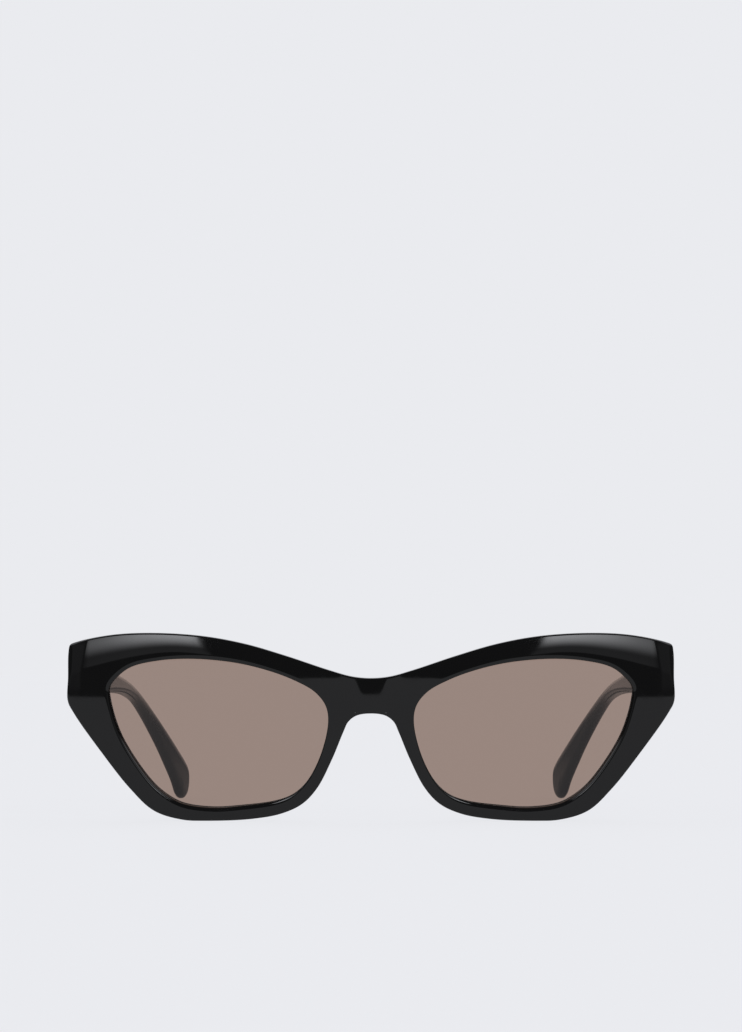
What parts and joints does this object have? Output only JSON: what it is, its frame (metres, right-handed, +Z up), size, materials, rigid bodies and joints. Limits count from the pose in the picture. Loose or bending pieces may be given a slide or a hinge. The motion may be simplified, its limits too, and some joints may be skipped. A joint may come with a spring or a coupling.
{
  "type": "cat eye sunglasses",
  "caption": "Cat eye sunglasses: thick black acetate front with upswept corners, taupe tinted lenses and slim folding temples on barrel hinges.",
  "frame": {"origin": "middle of the footprint, on the surface that the open glasses stand on, under the rims and the temple tips", "axes": "+Z up, the lenses face -Y, +X towards the wearer's left"},
  "size_m": [0.1456, 0.1357, 0.0449],
  "materials": {
    "front_acetate": "polished black acetate",
    "end_piece_acetate": "polished black acetate",
    "nose_pad_acetate": "polished black acetate",
    "temple_acetate": "polished black acetate",
    "lens_tint": "taupe tinted, polished, see-through",
    "hinge_steel": "satin nickel silver",
    "screw_steel": "turned stainless steel",
    "washer_nylon": "thin nylon",
    "wire_steel": "drawn nickel silver blade"
  },
  "bodies": {
    "front": {"front_frame": "front_acetate", "end_piece_left": "end_piece_acetate", "end_piece_right": "end_piece_acetate", "nose_pad_left": "nose_pad_acetate", "nose_pad_right": "nose_pad_acetate", "lens_left": "lens_tint", "lens_right": "lens_tint", "front_hinge_left": "hinge_steel", "front_hinge_right": "hinge_steel", "hinge_screw_left": "screw_steel", "hinge_screw_right": "screw_steel", "hinge_washers_left": "washer_nylon", "hinge_washers_right": "washer_nylon"},
    "temple_left_arm": {"temple_left": "temple_acetate", "temple_hinge_left": "hinge_steel", "core_wire_left": "wire_steel"},
    "temple_right_arm": {"temple_right": "temple_acetate", "temple_hinge_right": "hinge_steel", "core_wire_right": "wire_steel"}
  },
  "joints": [
    {"name": "temple_left_fold", "type": "hinge", "parent": "front", "child": "temple_left_arm", "pos_m": [0.0656, -0.05311, 0.0344], "axis": [0, 0, 1], "range_deg": [0, 85]},
    {"name": "temple_right_fold", "type": "hinge", "parent": "front", "child": "temple_right_arm", "pos_m": [-0.0656, -0.05311, 0.0344], "axis": [0, 0, -1], "range_deg": [0, 79]}
  ]
}
